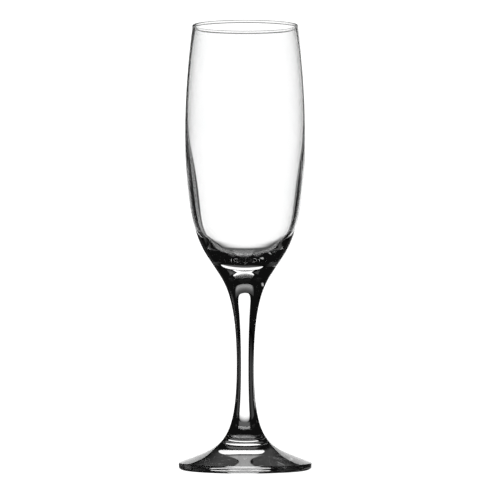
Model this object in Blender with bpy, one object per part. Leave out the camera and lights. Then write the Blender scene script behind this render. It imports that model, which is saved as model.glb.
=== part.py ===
"""Champagne flute in clear glass: a blown bowl, a drawn stem and a pressed foot.

The three glasses are turned shapes on one upright axis, fused end to end while hot. The frame is metres,
+Z up, with the origin on the axis at the level of the ring that the foot stands on.
"""

import math

import bmesh
import bpy
from mathutils import Vector
from mathutils.geometry import interpolate_bezier

MM = 0.001

# Driving dimensions.
HEIGHT = 195.0 * MM
BOWL_SEAM_Z = 80.0 * MM
FOOT_SEAM_Z = 15.0 * MM
FUSED_GAP = 0.3 * MM

# The lip is a fire-polished bead, a little thicker than the wall that it closes.
LIP_RADIUS = 22.8 * MM
LIP_BEAD_RADIUS = 0.75 * MM
LIP_NECK_DROP = 1.5 * MM
WALL_AT_LIP = 1.05 * MM

BELLY_RADIUS = 26.55 * MM
BELLY_Z = 149.8 * MM
FLARE_RADIUS = 13.3 * MM
FLARE_Z = 88.2 * MM
FLARE_SLOPE = math.radians(58.2)

# The inside is widest a little above the belly, draws in where the thick wall begins, and ends in a round floor.
INSIDE_BELLY_RADIUS = 25.55 * MM
INSIDE_BELLY_Z = 154.2 * MM
INSIDE_WAIST_RADIUS = 24.2 * MM
INSIDE_WAIST_Z = 134.5 * MM
INSIDE_WAIST_LEAN = math.radians(6.6)
FLOOR_Z = 90.4 * MM
FLOOR_ROUND = 19.5 * MM
FLOOR_TURN = math.radians(52.0)
HEEL_PULL = 9.2 * MM
WALL_PULL = 28.0 * MM

STEM_RADIUS = 3.8 * MM
STEM_WAIST_Z = 45.8 * MM

FOOT_RADIUS = 29.2 * MM
FOOT_EDGE_HEIGHT = 3.2 * MM
FOOT_UPPER_ROUND = 0.5 * MM
FOOT_LOWER_ROUND = 1.5 * MM
FOOT_TOP_SLOPE = math.radians(22.0)
STANDING_RING_OUTER = 27.7 * MM
STANDING_RING_INNER = 23.6 * MM
HOLLOW_DEPTH = 1.2 * MM

# Facets.
TURN_STEPS = 40
SPAN_POINTS = 9
BEAD_POINTS = 7
EDGE_POINTS = 5
SMOOTH_ANGLE = math.radians(30.0)

GLASS_COLOUR = (0.93, 0.95, 0.95, 1.0)
GLASS_ROUGHNESS = 0.02
GLASS_IOR = 1.52


def polar(angle, length):
    """An offset in the (radius, height) plane: angle 0 points outwards, a quarter turn points up."""
    return Vector((length * math.cos(angle), length * math.sin(angle)))


def span(start, leave, arrive, end, points=SPAN_POINTS):
    """One Bezier span from start to end, pulled by the two handle offsets."""
    start, end = Vector(start), Vector(end)
    return interpolate_bezier(start, start + Vector(leave), end + Vector(arrive), end, points)


def arc(centre, radius, first, last, points):
    """Points on a circle in the (radius, height) plane, from one angle to another."""
    turns = [first + (last - first) * step / (points - 1) for step in range(points)]
    return [Vector(centre) + polar(turn, radius) for turn in turns]


def joined(*stretches):
    """One outline from stretches that meet end to end, with each shared point kept once."""
    outline = []
    for point in map(Vector, (point for stretch in stretches for point in stretch)):
        if not outline or (point - outline[-1]).length > 0.01 * MM:
            outline.append(point)
    return outline


def lip_bead():
    """The rounded lip, from the inner wall over the top to the outer wall."""
    centre = (LIP_RADIUS, HEIGHT - LIP_BEAD_RADIUS)
    return arc(centre, LIP_BEAD_RADIUS, math.radians(205), math.radians(-25), BEAD_POINTS)


def inner_wall():
    """The inside of the bowl, from the middle of its floor up to the lip."""
    down = math.radians(-90)
    floor = arc((0, FLOOR_Z + FLOOR_ROUND), FLOOR_ROUND, down, down + FLOOR_TURN, SPAN_POINTS)
    heel = floor[-1]
    waist = (INSIDE_WAIST_RADIUS, INSIDE_WAIST_Z)
    up_the_waist = math.radians(90) - INSIDE_WAIST_LEAN
    lip = (LIP_RADIUS - WALL_AT_LIP / 2, HEIGHT - LIP_NECK_DROP)
    return joined(
        floor,
        span(heel, polar(FLOOR_TURN, HEEL_PULL), polar(up_the_waist, -WALL_PULL), waist, 2 * SPAN_POINTS),
        span(waist, polar(up_the_waist, 2.2 * MM), (0, -10.7 * MM), (INSIDE_BELLY_RADIUS, INSIDE_BELLY_Z)),
        span((INSIDE_BELLY_RADIUS, INSIDE_BELLY_Z), (0, 6.0 * MM), polar(math.radians(-79), 16.0 * MM), lip),
    )


def foot_edge():
    """The upper round of the foot's edge, from where its sloping top ends down to its widest point."""
    centre = (FOOT_RADIUS - FOOT_UPPER_ROUND, FOOT_EDGE_HEIGHT - FOOT_UPPER_ROUND)
    return arc(centre, FOOT_UPPER_ROUND, math.radians(90) - FOOT_TOP_SLOPE, 0, EDGE_POINTS)


def outer_wall():
    """The outside of the glass, from the lip down past the belly and the stem to the top of the foot's edge."""
    lip = (LIP_RADIUS + WALL_AT_LIP / 2, HEIGHT - LIP_NECK_DROP)
    belly = (BELLY_RADIUS, BELLY_Z)
    flare = (FLARE_RADIUS, FLARE_Z)
    waist = (STEM_RADIUS, STEM_WAIST_Z)
    edge = foot_edge()[0]
    return joined(
        span(lip, polar(math.radians(-81.5), 16.6 * MM), (0, 9.1 * MM), belly),
        span(belly, (0, -47.8 * MM), polar(FLARE_SLOPE, 8.5 * MM), flare, 2 * SPAN_POINTS),
        span(flare, polar(FLARE_SLOPE, -6.2 * MM), (0, 31.6 * MM), waist),
        span(waist, (0, -37.0 * MM), polar(math.pi - FOOT_TOP_SLOPE, 18.7 * MM), edge, 2 * SPAN_POINTS),
    )


def at_height(outline, height):
    """The point where a falling outline passes a height."""
    for above, below in zip(outline, outline[1:]):
        if above.y > height >= below.y:
            return above.lerp(below, (above.y - height) / (above.y - below.y))
    raise ValueError(f"the outline doesn't pass {height} m")


def above(outline, height):
    """The stretch of a falling outline down to a height."""
    return joined([point for point in outline if point.y > height], [at_height(outline, height)])


def below(outline, height):
    """The stretch of a falling outline from a height down."""
    return joined([at_height(outline, height)], [point for point in outline if point.y < height])


def turned(name, outline, material):
    """An outline that starts and ends on the axis, turned once around it into a closed solid."""
    mesh = bpy.data.meshes.new(name)
    shape = bmesh.new()
    points = [shape.verts.new((point.x, 0, point.y)) for point in outline]
    edges = [shape.edges.new(pair) for pair in zip(points, points[1:])]
    bmesh.ops.spin(
        shape,
        geom=points + edges,
        cent=(0, 0, 0),
        axis=(0, 0, 1),
        angle=math.tau,
        steps=TURN_STEPS,
        use_merge=True,
    )
    bmesh.ops.remove_doubles(shape, verts=shape.verts, dist=0.005 * MM)
    bmesh.ops.recalc_face_normals(shape, faces=shape.faces)
    shape.to_mesh(mesh)
    shape.free()
    mesh.materials.append(material)
    mesh.shade_smooth()
    mesh.set_sharp_from_angle(angle=SMOOTH_ANGLE)
    piece = bpy.data.objects.new(name, mesh)
    bpy.context.scene.collection.objects.link(piece)
    return piece


def glass(name):
    """Clear glass with its own material for each piece."""
    material = bpy.data.materials.new(name)
    material.use_nodes = True
    shader = material.node_tree.nodes["Principled BSDF"]
    shader.inputs["Base Color"].default_value = GLASS_COLOUR
    shader.inputs["Roughness"].default_value = GLASS_ROUGHNESS
    shader.inputs["Metallic"].default_value = 0.0
    shader.inputs["IOR"].default_value = GLASS_IOR
    shader.inputs["Transmission Weight"].default_value = 1.0
    return material


def bowl():
    """The blown cup with its thick base, cut flat where the stem is fused on."""
    base = BOWL_SEAM_Z + FUSED_GAP / 2
    outline = joined(inner_wall(), lip_bead(), above(outer_wall(), base), [(0, base)])
    return turned("bowl", outline, glass("bowl_glass"))


def stem():
    """The drawn stem, waisted below its middle and flared at both ends."""
    top, bottom = BOWL_SEAM_Z - FUSED_GAP / 2, FOOT_SEAM_Z + FUSED_GAP / 2
    outline = joined([(0, top)], above(below(outer_wall(), top), bottom), [(0, bottom)])
    return turned("stem", outline, glass("stem_glass"))


def foot():
    """The pressed foot: a rounded edge, a flat ring to stand on and a shallow hollow underneath."""
    top = FOOT_SEAM_Z - FUSED_GAP / 2
    under_edge = (FOOT_RADIUS, FOOT_LOWER_ROUND)
    outline = joined(
        [(0, top)],
        below(outer_wall(), top),
        foot_edge(),
        span(under_edge, (0, -0.83 * MM), (0.83 * MM, 0), (STANDING_RING_OUTER, 0), EDGE_POINTS),
        span((STANDING_RING_INNER, 0), (-4.0 * MM, 0), (12.0 * MM, 0), (0, HOLLOW_DEPTH)),
    )
    return turned("foot", outline, glass("foot_glass"))


def clear_scene():
    for old in list(bpy.data.objects):
        bpy.data.objects.remove(old)


def main():
    clear_scene()
    bowl()
    stem()
    foot()


main()
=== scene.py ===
"""Clear champagne flute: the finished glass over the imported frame, and its bright-field studio."""

import math
from typing import NamedTuple

import bmesh
import bpy
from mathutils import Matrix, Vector


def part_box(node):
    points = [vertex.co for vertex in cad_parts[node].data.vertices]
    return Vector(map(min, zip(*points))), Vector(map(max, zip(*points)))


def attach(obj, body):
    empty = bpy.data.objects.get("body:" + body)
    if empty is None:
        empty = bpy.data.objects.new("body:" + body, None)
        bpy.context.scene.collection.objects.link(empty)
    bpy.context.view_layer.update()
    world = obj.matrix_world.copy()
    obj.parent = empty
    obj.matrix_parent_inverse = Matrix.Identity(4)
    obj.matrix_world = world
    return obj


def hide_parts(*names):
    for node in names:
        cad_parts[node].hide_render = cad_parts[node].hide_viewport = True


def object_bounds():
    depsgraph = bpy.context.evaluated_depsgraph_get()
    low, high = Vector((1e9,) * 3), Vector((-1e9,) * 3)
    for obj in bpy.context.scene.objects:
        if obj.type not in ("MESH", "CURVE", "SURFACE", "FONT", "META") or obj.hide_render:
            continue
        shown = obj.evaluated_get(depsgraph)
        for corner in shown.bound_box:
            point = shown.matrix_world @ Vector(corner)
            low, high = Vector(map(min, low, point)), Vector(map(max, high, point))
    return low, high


bl_info = {
    "name": "Champagne Flute",
    "version": (1, 0, 0),
    "blender": (4, 5, 0),
    "location": "3D View > Sidebar > Flute",
    "description": "Turns a clear champagne flute in three pieces and sets up its bright-field studio",
    "category": "Add Mesh",
}

MM = 0.001
TURN_STEPS = 192
MERGE = 2e-6
LEVEL = 1e-6
SMOOTH_ANGLE = math.radians(35)

# Lengths of the handles that pull the outline before and after each of its anchors.
INNER_WAIST_RUN = 2.16 * MM
INNER_BELLY_RUN = (10.7 * MM, 4.06 * MM)
INNER_LIP_RUN = 16.8 * MM
LIP_RUN = 16.57 * MM
BELLY_RUN = (9.14 * MM, 47.8 * MM)
FLARE_RUN = (8.54 * MM, 6.2 * MM)
STEM_RUN = (31.6 * MM, 37.0 * MM)
RIM_RUN = 18.7 * MM
RING_RUN = (0.2 * MM, 7.0 * MM)
HOLLOW_RUN = 12.0 * MM
BEAD_WRAP = math.radians(25)

FLOOR_SIZE = 4.0
FLOOR_DROP = 0.2 * MM
MOST_BOUNCES = 32
GLOSSY_BOUNCES = 16

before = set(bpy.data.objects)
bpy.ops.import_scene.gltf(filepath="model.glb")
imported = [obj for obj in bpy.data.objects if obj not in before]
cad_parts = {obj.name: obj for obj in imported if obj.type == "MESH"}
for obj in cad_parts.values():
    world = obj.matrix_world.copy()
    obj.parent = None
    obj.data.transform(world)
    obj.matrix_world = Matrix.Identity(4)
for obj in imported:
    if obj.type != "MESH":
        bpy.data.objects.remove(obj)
CAD_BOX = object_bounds()
GLASS_TOP = CAD_BOX[1].z
FOOT_RADIUS = CAD_BOX[1].x
BOWL_SEAM = (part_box("bowl")[0].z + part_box("stem")[1].z) / 2
FOOT_SEAM = (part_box("stem")[0].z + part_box("foot")[1].z) / 2


def length(name, description, default):
    """A size in metres that a user can change."""
    return bpy.props.FloatProperty(
        name=name, description=description, default=default, min=0.0, precision=5, unit="LENGTH"
    )


def turn(name, description, degrees):
    """An angle that a user can change."""
    return bpy.props.FloatProperty(
        name=name, description=description, default=math.radians(degrees), unit="ROTATION"
    )


def amount(name, description, default, most=10.0):
    """A plain number that a user can change."""
    return bpy.props.FloatProperty(
        name=name, description=description, default=default, min=0.0, max=most, precision=3
    )


class BowlSettings(bpy.types.PropertyGroup):
    """Sizes of the blown bowl."""

    lip_radius: length("Lip radius", "Middle of the wall at the lip", 22.8 * MM)
    lip_bead: length("Lip bead", "Radius of the fire-polished bead", 0.75 * MM)
    lip_neck: length("Lip neck", "Drop from the top to where the bead meets the wall", 1.5 * MM)
    lip_wall: length("Wall at lip", "Wall thickness under the bead", 1.05 * MM)
    lip_slope: turn("Lip slope", "Lean of the outer wall at the lip", 8.4)
    inner_lip_slope: turn("Inner lip slope", "Lean of the inner wall at the lip", 10.1)
    belly_radius: length("Belly radius", "Outer radius at the widest place", 26.55 * MM)
    belly_height: length("Belly height", "Height of the widest place", 149.8 * MM)
    inner_belly_radius: length("Inner belly radius", "Inner radius at its widest", 25.55 * MM)
    inner_belly_height: length("Inner belly height", "Height of the widest place inside", 154.2 * MM)
    inner_waist_radius: length("Inner waist radius", "Inner radius where the thick wall starts", 24.2 * MM)
    inner_waist_height: length("Inner waist height", "Height where the thick wall starts", 134.5 * MM)
    inner_waist_lean: turn("Inner waist lean", "Lean of the inner wall there", 6.6)
    floor_height: length("Floor height", "Height of the bowl's floor", 90.4 * MM)
    floor_round: length("Floor roundness", "Radius of the floor's hollow round", 19.5 * MM)
    floor_turn: turn("Floor turn", "Slope that the floor reaches where the wall begins", 52.0)
    heel_pull: length("Heel pull", "Length of the handle that carries the floor's slope on into the wall", 9.2 * MM)
    wall_pull: length("Wall pull", "Length of the handle that holds the wall before it turns in", 28.0 * MM)
    flare_radius: length("Flare radius", "Outer radius where the base turns towards the stem", 13.31 * MM)
    flare_height: length("Flare height", "Height of that place", 88.24 * MM)
    flare_slope: turn("Flare slope", "Slope of the outer wall at that place", 58.2)


class StemSettings(bpy.types.PropertyGroup):
    """Sizes of the drawn stem."""

    waist_radius: length("Waist radius", "Radius of the stem at its thinnest", 3.8 * MM)
    waist_height: length("Waist height", "Height of the thinnest place", 45.8 * MM)


class FootSettings(bpy.types.PropertyGroup):
    """Sizes of the pressed foot."""

    edge_height: length("Edge height", "Thickness of the foot's edge", 3.2 * MM)
    upper_round: length("Upper round", "Radius of the edge's upper corner", 0.5 * MM)
    lower_round: length("Lower round", "Radius of the edge's lower corner", 1.5 * MM)
    top_slope: turn("Top slope", "Slope of the foot's top at its edge", 22.0)
    ring_inner: length("Ring inner radius", "Inner radius of the ring that it stands on", 23.6 * MM)
    hollow_depth: length("Hollow depth", "Depth of the shallow hollow underneath", 1.2 * MM)


class GlassSettings(bpy.types.PropertyGroup):
    """The finish of the glass."""

    ior: amount("Refraction", "Index of refraction of soda-lime glass", 1.52, 3.0)
    ripple: length("Ripple depth", "Height of the soft ripples that forming leaves in the skin", 0.002 * MM)
    clean: amount("Clean finish", "Roughness of the glass where it is clean", 0.0, 1.0)
    hazy: amount("Hazy finish", "Roughness of the glass where handling has left a haze", 0.04, 1.0)


class StudioSettings(bpy.types.PropertyGroup):
    """The camera and the set around the glass."""

    camera_distance: length("Camera distance", "From the lens to the glass's axis", 1.207)
    camera_height: length("Camera height", "Height of the lens above the floor", 79.5 * MM)
    aim_height: length("Aim height", "Height on the axis that the camera looks at", 97.9 * MM)
    aim_side: length("Aim side", "How far right of the axis the camera looks", 0.3 * MM)
    focal_length: amount("Focal length", "Focal length in millimetres on a 36 mm sensor", 201.4, 1000.0)
    set_radius: length("Set radius", "From the glass's axis out to the cards", 1.0)
    card_centre: turn("Card centre", "How far right of the glass the light card hangs", 3.3)
    card_spread: turn("Card spread", "Half of the light card's width as the glass sees it", 18.2)
    card_rise: turn("Card rise", "Top of the light card above the glass's middle", 22.5)
    card_drop: turn("Card drop", "Bottom of the light card below the glass's middle", 28.5)
    card_round: length("Card round", "Radius of the light card's two upper corners", 0.2)
    card_glow: amount("Card glow", "Brightness of the light card", 1.25)
    flag_reach: turn("Flag reach", "Outer edge of the dark flags beside the card", 42.0)
    flag_rise: turn("Flag rise", "Top of the dark flags above the glass's middle", 3.0)
    flag_glow: amount("Flag glow", "Brightness of the dark flags along their middle", 0.06)
    high_spread: turn("High spread", "Half of the dim upper card's width", 26.0)
    high_rise: turn("High rise", "Top of the dim card over the light card", 60.0)
    high_glow: amount("High glow", "Brightness of the dim card over the light card", 0.38)
    low_drop: turn("Low drop", "Bottom of the dim card under the light card", 60.0)
    low_glow: amount("Low glow", "Brightness of the dim card under the light card", 0.12)
    side_heading: turn("Side heading", "How far to the left the side light stands", 63.0)
    side_spread: turn("Side spread", "Half of the side light's width", 15.0)
    side_drop: turn("Side drop", "Bottom of the side light below the glass's middle", 24.0)
    side_rise: turn("Side rise", "Top of the side light above the glass's middle", 0.0)
    side_glow: amount("Side glow", "Brightness of the side light", 0.5)
    room_glow: amount("Room glow", "Brightness of the dark room around the set", 0.005)
    floor_glow: amount("Floor glow", "Brightness of the pale floor", 1.2)


class FluteSettings(bpy.types.PropertyGroup):
    """All settings of the flute and its studio."""

    bowl: bpy.props.PointerProperty(name="Bowl", type=BowlSettings)
    stem: bpy.props.PointerProperty(name="Stem", type=StemSettings)
    foot: bpy.props.PointerProperty(name="Foot", type=FootSettings)
    glass: bpy.props.PointerProperty(name="Glass", type=GlassSettings)
    studio: bpy.props.PointerProperty(name="Studio", type=StudioSettings)


class Anchor(NamedTuple):
    """A point of a turned outline: its place, the way the line runs there, and its two handles' lengths."""

    radius: float
    height: float
    heading: float
    before: float = 0.0
    after: float = 0.0


def settings():
    """The settings that this scene keeps for the flute."""
    return bpy.context.scene.flute


def place(radius, height):
    """A point of an outline, which is drawn in the XZ plane."""
    return Vector((radius, 0.0, height))


def ahead(heading, distance):
    """An offset along a heading: 0 points outwards and a quarter turn points up."""
    return place(distance * math.cos(heading), distance * math.sin(heading))


def arc(centre, radius, first, last, pieces):
    """Anchors on a round, from one angle to another, with or against the clock."""
    step = (last - first) / pieces
    handle = abs(4.0 / 3.0 * math.tan(step / 4.0) * radius)
    side = math.copysign(math.pi / 2.0, step)
    anchors = []
    for i in range(pieces + 1):
        angle = first + step * i
        out = centre[0] + radius * math.cos(angle)
        height = centre[1] + radius * math.sin(angle)
        anchors.append(Anchor(out, height, angle + side, handle, handle))
    return anchors


def inner_wall():
    """The inside of the bowl, from the middle of its floor up to the lip."""
    s = settings().bowl
    up = math.radians(90)
    centre = (0.0, s.floor_height + s.floor_round)
    middle, heel = arc(centre, s.floor_round, -up, s.floor_turn - up, 1)
    waist_heading = up - s.inner_waist_lean
    neck = s.lip_radius - s.lip_wall / 2
    return [
        middle,
        heel._replace(after=s.heel_pull),
        Anchor(s.inner_waist_radius, s.inner_waist_height, waist_heading, s.wall_pull, INNER_WAIST_RUN),
        Anchor(s.inner_belly_radius, s.inner_belly_height, up, *INNER_BELLY_RUN),
        Anchor(neck, GLASS_TOP - s.lip_neck, up + s.inner_lip_slope, INNER_LIP_RUN),
    ]


def lip():
    """The rounded bead on top of the wall, from the inner wall to the outer wall."""
    s = settings().bowl
    centre = (s.lip_radius, GLASS_TOP - s.lip_bead)
    fillet = s.lip_neck / 10
    return [
        inner_wall()[-1]._replace(after=fillet),
        *arc(centre, s.lip_bead, math.pi + BEAD_WRAP, -BEAD_WRAP, 3),
        outer_wall()[0]._replace(before=fillet),
    ]


def outer_wall():
    """The outside of the glass, from the lip past the belly and the stem to the foot's edge."""
    s, stem, foot = settings().bowl, settings().stem, settings().foot
    down = math.radians(-90)
    neck = s.lip_radius + s.lip_wall / 2
    rim = foot_edge()[0]
    return [
        Anchor(neck, GLASS_TOP - s.lip_neck, down + s.lip_slope, after=LIP_RUN),
        Anchor(s.belly_radius, s.belly_height, down, *BELLY_RUN),
        Anchor(s.flare_radius, s.flare_height, s.flare_slope - math.pi, *FLARE_RUN),
        Anchor(stem.waist_radius, stem.waist_height, down, *STEM_RUN),
        Anchor(rim.radius, rim.height, -foot.top_slope, before=RIM_RUN),
    ]


def foot_edge():
    """The foot's edge, from the end of its sloping top, round two corners, to the standing ring."""
    s = settings().foot
    upper = (FOOT_RADIUS - s.upper_round, s.edge_height - s.upper_round)
    lower = (FOOT_RADIUS - s.lower_round, s.lower_round)
    return [
        *arc(upper, s.upper_round, math.radians(90) - s.top_slope, 0.0, 2),
        *arc(lower, s.lower_round, 0.0, math.radians(-90), 2),
    ]


def underside():
    """The flat ring that the glass stands on, and the shallow hollow inside it."""
    s = settings().foot
    return [
        Anchor(foot_edge()[-1].radius, 0.0, math.pi, after=RING_RUN[0]),
        Anchor(s.ring_inner, 0.0, math.pi, *RING_RUN),
        Anchor(0.0, s.hollow_depth, math.pi, HOLLOW_RUN),
    ]


def whole_outline():
    """The anchors of each stretch, from the bowl's floor round to the underside, and its rings a span."""
    return [(inner_wall(), 40), (lip(), 6), (outer_wall(), 56), (foot_edge(), 6), (underside(), 16)]


def draw_outline(name):
    """The whole outline as a Bezier curve with one spline for each stretch, made a mesh of plain edges."""
    bpy.ops.object.select_all(action="DESELECT")
    bpy.ops.curve.primitive_bezier_curve_add(location=(0, 0, 0))
    drawn = bpy.context.object
    drawn.name = name
    drawn.data.name = name
    drawn.data.splines.clear()
    for anchors, rings in whole_outline():
        spline = drawn.data.splines.new("BEZIER")
        spline.resolution_u = rings
        spline.bezier_points.add(len(anchors) - 1)
        for point, anchor in zip(spline.bezier_points, anchors):
            point.handle_left_type = point.handle_right_type = "FREE"
            point.co = place(anchor.radius, anchor.height)
            point.handle_left = point.co - ahead(anchor.heading, anchor.before)
            point.handle_right = point.co + ahead(anchor.heading, anchor.after)
    bpy.ops.object.convert(target="MESH")
    bpy.ops.object.mode_set(mode="EDIT")
    bpy.ops.mesh.select_all(action="SELECT")
    bpy.ops.mesh.remove_doubles(threshold=MERGE)
    bpy.ops.object.mode_set(mode="OBJECT")
    return drawn


def cut_outline(drawn, height, keep):
    """Cuts the outline at a height, keeps what is above or below, and closes the cut flat to the axis."""
    bpy.ops.object.mode_set(mode="EDIT")
    bpy.ops.mesh.select_all(action="SELECT")
    bpy.ops.mesh.bisect(
        plane_co=(0, 0, height),
        plane_no=(0, 0, 1),
        clear_inner=keep == "ABOVE",
        clear_outer=keep == "BELOW",
        threshold=1e-8,
    )
    bpy.ops.mesh.select_all(action="DESELECT")
    bpy.ops.object.mode_set(mode="OBJECT")
    end = min(drawn.data.vertices, key=lambda v: abs(v.co.z - height))
    end.select = True
    bpy.ops.object.mode_set(mode="EDIT")
    bpy.ops.mesh.extrude_region_move(TRANSFORM_OT_translate={"value": (-end.co.x, 0, 0)})
    bpy.ops.object.mode_set(mode="OBJECT")


def turn_outline():
    """Spins the outline once round the glass's axis into a closed skin that faces out."""
    bpy.ops.object.mode_set(mode="EDIT")
    bpy.ops.mesh.select_all(action="SELECT")
    bpy.ops.mesh.spin(steps=TURN_STEPS, angle=math.tau, center=(0, 0, 0), axis=(0, 0, 1))
    bpy.ops.mesh.select_all(action="SELECT")
    bpy.ops.mesh.remove_doubles(threshold=MERGE)
    bpy.ops.mesh.normals_make_consistent(inside=False)
    bpy.ops.object.mode_set(mode="OBJECT")


def finish_piece(piece, node, glass, cuts):
    """Gives the piece its glass, fused faces at its cuts, smooth shading and its place in the frame."""
    skin = bmesh.new()
    skin.from_mesh(piece.data)
    loose = sum(not edge.is_manifold for edge in skin.edges)
    volume = skin.calc_volume(signed=True)
    skin.free()
    if loose or volume <= 0:
        raise RuntimeError(f"{piece.name} isn't closed and facing out: {loose} open edges, {volume} m3")
    piece.data.materials.append(glass)
    piece.data.materials.append(fused_face())
    for face in piece.data.polygons:
        at_cut = any(abs(face.center.z - cut) < LEVEL for cut in cuts)
        face.material_index = int(at_cut and abs(face.normal.z) > 0.999)
    bpy.ops.object.select_all(action="DESELECT")
    piece.select_set(True)
    bpy.context.view_layer.objects.active = piece
    bpy.ops.object.shade_smooth_by_angle(angle=SMOOTH_ANGLE)
    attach(piece, "root")
    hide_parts(node)


def link(tree, *pairs):
    """Joins sockets of a node tree, each pair an output and an input."""
    for source, target in pairs:
        tree.links.new(source, target)


def surface_marks():
    """A node group with the marks on glass: the ripples of its forming and the haze of its handling."""
    made = bpy.data.node_groups.get("surface_marks")
    if made:
        return made
    made = bpy.data.node_groups.new("surface_marks", "ShaderNodeTree")
    for name, size in (("Ripple Width", 5.0 * MM), ("Ripple Length", 9.0 * MM), ("Haze Size", 16.0 * MM)):
        socket = made.interface.new_socket(name, in_out="INPUT", socket_type="NodeSocketFloat")
        socket.default_value = size
    for name in ("Ripple", "Haze"):
        made.interface.new_socket(name, in_out="OUTPUT", socket_type="NodeSocketFloat")
    nodes = made.nodes
    given = nodes.new("NodeGroupInput")
    result = nodes.new("NodeGroupOutput")
    spot = nodes.new("ShaderNodeTexCoord")

    size = nodes.new("ShaderNodeCombineXYZ")
    stretched = nodes.new("ShaderNodeVectorMath")
    stretched.operation = "DIVIDE"
    ripple = nodes.new("ShaderNodeTexNoise")
    ripple.inputs["Scale"].default_value = 1.0
    ripple.inputs["Detail"].default_value = 1.5
    link(
        made,
        (given.outputs["Ripple Width"], size.inputs["X"]),
        (given.outputs["Ripple Width"], size.inputs["Y"]),
        (given.outputs["Ripple Length"], size.inputs["Z"]),
        (spot.outputs["Object"], stretched.inputs[0]),
        (size.outputs["Vector"], stretched.inputs[1]),
        (stretched.outputs["Vector"], ripple.inputs["Vector"]),
        (ripple.outputs["Fac"], result.inputs["Ripple"]),
    )

    share = nodes.new("ShaderNodeMath")
    share.operation = "DIVIDE"
    share.inputs[0].default_value = 1.0
    cloud = nodes.new("ShaderNodeTexNoise")
    cloud.inputs["Detail"].default_value = 6.0
    patch = nodes.new("ShaderNodeMapRange")
    patch.interpolation_type = "SMOOTHSTEP"
    patch.inputs["From Min"].default_value = 0.45
    patch.inputs["From Max"].default_value = 0.75
    link(
        made,
        (given.outputs["Haze Size"], share.inputs[1]),
        (share.outputs["Value"], cloud.inputs["Scale"]),
        (spot.outputs["Object"], cloud.inputs["Vector"]),
        (cloud.outputs["Fac"], patch.inputs["Value"]),
        (patch.outputs["Result"], result.inputs["Haze"]),
    )
    return made


def clear_glass(name, ripple_width, ripple_length):
    """Clear soda-lime glass with soft ripples of one width around the glass and one length along it."""
    s = settings().glass
    made = bpy.data.materials.new(name)
    made.use_nodes = True
    tree = made.node_tree
    shader = tree.nodes["Principled BSDF"]
    shader.inputs["IOR"].default_value = s.ior
    shader.inputs["Transmission Weight"].default_value = 1.0
    marks = tree.nodes.new("ShaderNodeGroup")
    marks.node_tree = surface_marks()
    marks.inputs["Ripple Width"].default_value = ripple_width
    marks.inputs["Ripple Length"].default_value = ripple_length
    tint = tree.nodes.new("ShaderNodeMix")
    tint.data_type = "RGBA"
    tint.inputs["A"].default_value = (1.0, 1.0, 1.0, 1.0)
    tint.inputs["B"].default_value = (0.985, 0.99, 0.99, 1.0)
    finish = tree.nodes.new("ShaderNodeMapRange")
    finish.inputs["To Min"].default_value = s.clean
    finish.inputs["To Max"].default_value = s.hazy
    relief = tree.nodes.new("ShaderNodeBump")
    relief.inputs["Strength"].default_value = 1.0
    relief.inputs["Distance"].default_value = s.ripple
    link(
        tree,
        (marks.outputs["Haze"], tint.inputs["Factor"]),
        (tint.outputs["Result"], shader.inputs["Base Color"]),
        (marks.outputs["Haze"], finish.inputs["Value"]),
        (finish.outputs["Result"], shader.inputs["Roughness"]),
        (marks.outputs["Ripple"], relief.inputs["Height"]),
        (relief.outputs["Normal"], shader.inputs["Normal"]),
    )
    return made


def fused_face():
    """Where two pieces are fused there is no surface, so light goes straight through."""
    made = bpy.data.materials.get("fused_face")
    if made:
        return made
    made = bpy.data.materials.new("fused_face")
    made.use_nodes = True
    shader = made.node_tree.nodes["Principled BSDF"]
    shader.inputs["Base Color"].default_value = (1, 1, 1, 1)
    shader.inputs["Alpha"].default_value = 0.0
    return made


class FLUTE_OT_bowl(bpy.types.Operator):
    """Turn the bowl, with its lip bead and thick base"""

    bl_idname = "flute.bowl"
    bl_label = "Bowl"

    def execute(self, context):
        piece = draw_outline("flute_bowl")
        cut_outline(piece, BOWL_SEAM, "ABOVE")
        turn_outline()
        glass = clear_glass("blown_glass", 9.0 * MM, 14.0 * MM)
        finish_piece(piece, "bowl", glass, [BOWL_SEAM])
        return {"FINISHED"}


class FLUTE_OT_stem(bpy.types.Operator):
    """Turn the stem"""

    bl_idname = "flute.stem"
    bl_label = "Stem"

    def execute(self, context):
        piece = draw_outline("flute_stem")
        cut_outline(piece, BOWL_SEAM, "BELOW")
        cut_outline(piece, FOOT_SEAM, "ABOVE")
        turn_outline()
        glass = clear_glass("drawn_glass", 3.0 * MM, 20.0 * MM)
        finish_piece(piece, "stem", glass, [BOWL_SEAM, FOOT_SEAM])
        return {"FINISHED"}


class FLUTE_OT_foot(bpy.types.Operator):
    """Turn the foot"""

    bl_idname = "flute.foot"
    bl_label = "Foot"

    def execute(self, context):
        piece = draw_outline("flute_foot")
        cut_outline(piece, FOOT_SEAM, "BELOW")
        turn_outline()
        glass = clear_glass("pressed_glass", 6.0 * MM, 6.0 * MM)
        finish_piece(piece, "foot", glass, [FOOT_SEAM])
        return {"FINISHED"}


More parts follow.
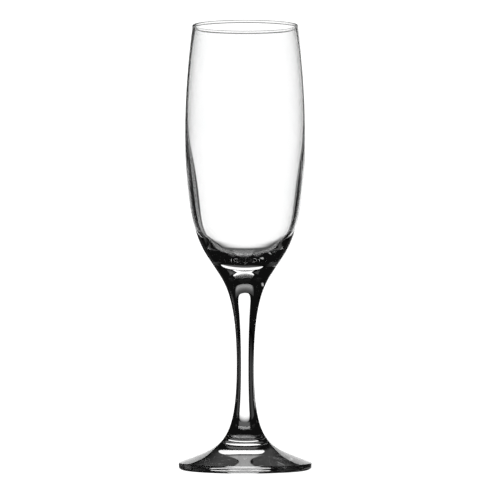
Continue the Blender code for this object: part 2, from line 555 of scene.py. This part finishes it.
def soft_light(name, glow, rest, side, bottom, top):
    """A light surface that fades from its glow to a dimmer rest over shares of its width and height."""
    made = bpy.data.materials.new(name)
    made.use_nodes = True
    nodes, links = made.node_tree.nodes, made.node_tree.links
    nodes.remove(nodes["Principled BSDF"])
    across = nodes.new("ShaderNodeTexCoord")
    split = nodes.new("ShaderNodeSeparateXYZ")
    links.new(across.outputs["UV"], split.inputs["Vector"])
    last = None
    for axis, start, end in (("X", 0, side), ("X", 1, 1 - side), ("Y", 0, bottom), ("Y", 1, 1 - top)):
        ramp = nodes.new("ShaderNodeMapRange")
        ramp.interpolation_type = "SMOOTHSTEP"
        ramp.inputs["From Min"].default_value = start
        ramp.inputs["From Max"].default_value = end
        links.new(split.outputs[axis], ramp.inputs["Value"])
        if last:
            both = nodes.new("ShaderNodeMath")
            both.operation = "MULTIPLY"
            links.new(last, both.inputs[0])
            links.new(ramp.outputs["Result"], both.inputs[1])
            last = both.outputs["Value"]
        else:
            last = ramp.outputs["Result"]
    strength = nodes.new("ShaderNodeMapRange")
    strength.inputs["To Min"].default_value = rest
    strength.inputs["To Max"].default_value = glow
    links.new(last, strength.inputs["Value"])
    light = nodes.new("ShaderNodeEmission")
    links.new(strength.outputs["Result"], light.inputs["Strength"])
    links.new(light.outputs["Emission"], nodes["Material Output"].inputs["Surface"])
    return made


def plain_light(name, glow):
    """A light surface that is the same all over."""
    made = bpy.data.materials.new(name)
    made.use_nodes = True
    nodes = made.node_tree.nodes
    nodes.remove(nodes["Principled BSDF"])
    light = nodes.new("ShaderNodeEmission")
    light.inputs["Strength"].default_value = glow
    made.node_tree.links.new(light.outputs["Emission"], nodes["Material Output"].inputs["Surface"])
    return made


def card(name, camera, material, facing, low, high):
    """A card on the camera's stand, square to a heading from the glass's middle.

    From there, low is the angles of its left and bottom, and high those of its right and top.
    """
    s = settings().studio
    bpy.ops.object.select_all(action="DESELECT")
    bpy.ops.mesh.primitive_plane_add(size=1.0, location=(0, 0, 0))
    made = bpy.context.object
    made.name = name
    made.data.name = name
    left, bottom = (math.tan(angle) * s.set_radius for angle in low)
    right, top = (math.tan(angle) * s.set_radius for angle in high)
    middle = Vector((0, 0, -s.camera_distance))
    ahead_of_glass = Vector((math.sin(facing), 0, -math.cos(facing)))
    rightwards = Vector((math.cos(facing), 0, math.sin(facing)))
    for corner in made.data.vertices:
        x = right if corner.co.x > 0 else left
        y = top if corner.co.y > 0 else bottom
        corner.co = middle + ahead_of_glass * s.set_radius + rightwards * x + Vector((0, y, 0))
    made.data.materials.append(material)
    made.parent = camera
    made.visible_diffuse = False
    made.visible_shadow = False
    return made


def round_top(made, radius):
    """Rounds the two upper corners of a card."""
    for corner in made.data.vertices:
        corner.select = corner.co.y > 0
    bpy.ops.object.mode_set(mode="EDIT")
    bpy.ops.mesh.bevel(affect="VERTICES", offset=radius, segments=12)
    bpy.ops.object.mode_set(mode="OBJECT")


class FLUTE_OT_studio(bpy.types.Operator):
    """Set the camera, the light cards and the pale floor"""

    bl_idname = "flute.studio"
    bl_label = "Studio"

    def execute(self, context):
        s = settings().studio
        bpy.ops.object.select_all(action="DESELECT")
        bpy.ops.object.camera_add(location=(0, -s.camera_distance, s.camera_height))
        camera = context.object
        camera.name = "studio_camera"
        camera.data.lens = s.focal_length
        aim = Vector((s.aim_side, 0.0, s.aim_height))
        camera.rotation_euler = (aim - camera.location).to_track_quat("-Z", "Y").to_euler()
        context.scene.camera = camera
        context.view_layer.update()

        left = s.card_centre - s.card_spread
        right = s.card_centre + s.card_spread
        lit = soft_light("light_card", s.card_glow, s.low_glow, side=0.03, bottom=0.2, top=0.02)
        made = card("light_card", camera, lit, 0, (left, -s.card_drop), (right, s.card_rise))
        round_top(made, s.card_round)
        flag = soft_light("dark_flag", s.flag_glow, 0.0, side=0.45, bottom=0.05, top=0.3)
        card("left_flag", camera, flag, 0, (-s.flag_reach, -s.card_drop), (left, s.flag_rise))
        card("right_flag", camera, flag, 0, (right, -s.card_drop), (s.flag_reach, s.flag_rise))
        high = soft_light("high_card", s.high_glow, 0.05, side=0.15, bottom=0.3, top=0.2)
        high_left = s.card_centre - s.high_spread
        high_right = s.card_centre + s.high_spread
        card("high_card", camera, high, 0, (high_left, s.card_rise), (high_right, s.high_rise))
        low = soft_light("low_card", s.low_glow, 0.04, side=0.1, bottom=1.0, top=0.001)
        card("low_card", camera, low, 0, (left, -s.low_drop), (right, -s.card_drop))
        side = soft_light("side_light", s.side_glow, 0.0, side=0.3, bottom=0.3, top=0.3)
        side_low = (-s.side_spread, -s.side_drop)
        side_high = (s.side_spread, s.side_rise)
        card("side_light", camera, side, -s.side_heading, side_low, side_high)

        bpy.ops.mesh.primitive_plane_add(size=FLOOR_SIZE, location=(0, 0, -FLOOR_DROP))
        floor = context.object
        floor.name = "pale_floor"
        floor.data.materials.append(plain_light("pale_floor", s.floor_glow))
        floor.visible_transmission = False
        floor.visible_glossy = False

        world = bpy.data.worlds.new("dim_room")
        world.use_nodes = True
        world.node_tree.nodes["Background"].inputs["Color"].default_value = (s.room_glow,) * 3 + (1,)
        context.scene.world = world

        context.scene.view_settings.view_transform = "Standard"
        paths = context.scene.cycles
        paths.max_bounces = MOST_BOUNCES
        paths.transmission_bounces = MOST_BOUNCES
        paths.glossy_bounces = GLOSSY_BOUNCES
        paths.transparent_max_bounces = MOST_BOUNCES
        return {"FINISHED"}


class FLUTE_PT_panel(bpy.types.Panel):
    """Buttons and settings of the flute"""

    bl_idname = "FLUTE_PT_panel"
    bl_label = "Champagne Flute"
    bl_space_type = "VIEW_3D"
    bl_region_type = "UI"
    bl_category = "Flute"

    def draw(self, context):
        for part in OPERATORS:
            self.layout.operator(part.bl_idname)
        for group in ("bowl", "stem", "foot", "glass", "studio"):
            box = self.layout.box()
            box.label(text=group.title())
            owner = getattr(settings(), group)
            for name in owner.bl_rna.properties.keys():
                if name not in ("rna_type", "name"):
                    box.prop(owner, name)


OPERATORS = (FLUTE_OT_bowl, FLUTE_OT_stem, FLUTE_OT_foot, FLUTE_OT_studio)
CLASSES = (
    BowlSettings,
    StemSettings,
    FootSettings,
    GlassSettings,
    StudioSettings,
    FluteSettings,
    *OPERATORS,
    FLUTE_PT_panel,
)


def register():
    for cls in CLASSES:
        bpy.utils.register_class(cls)
    bpy.types.Scene.flute = bpy.props.PointerProperty(name="Flute", type=FluteSettings)


def unregister():
    del bpy.types.Scene.flute
    for cls in reversed(CLASSES):
        bpy.utils.unregister_class(cls)


def main():
    """Makes the flute's pieces and its studio in order."""
    register()
    bpy.ops.flute.bowl()
    bpy.ops.flute.stem()
    bpy.ops.flute.foot()
    bpy.ops.flute.studio()


if __name__ == "__main__":
    main()
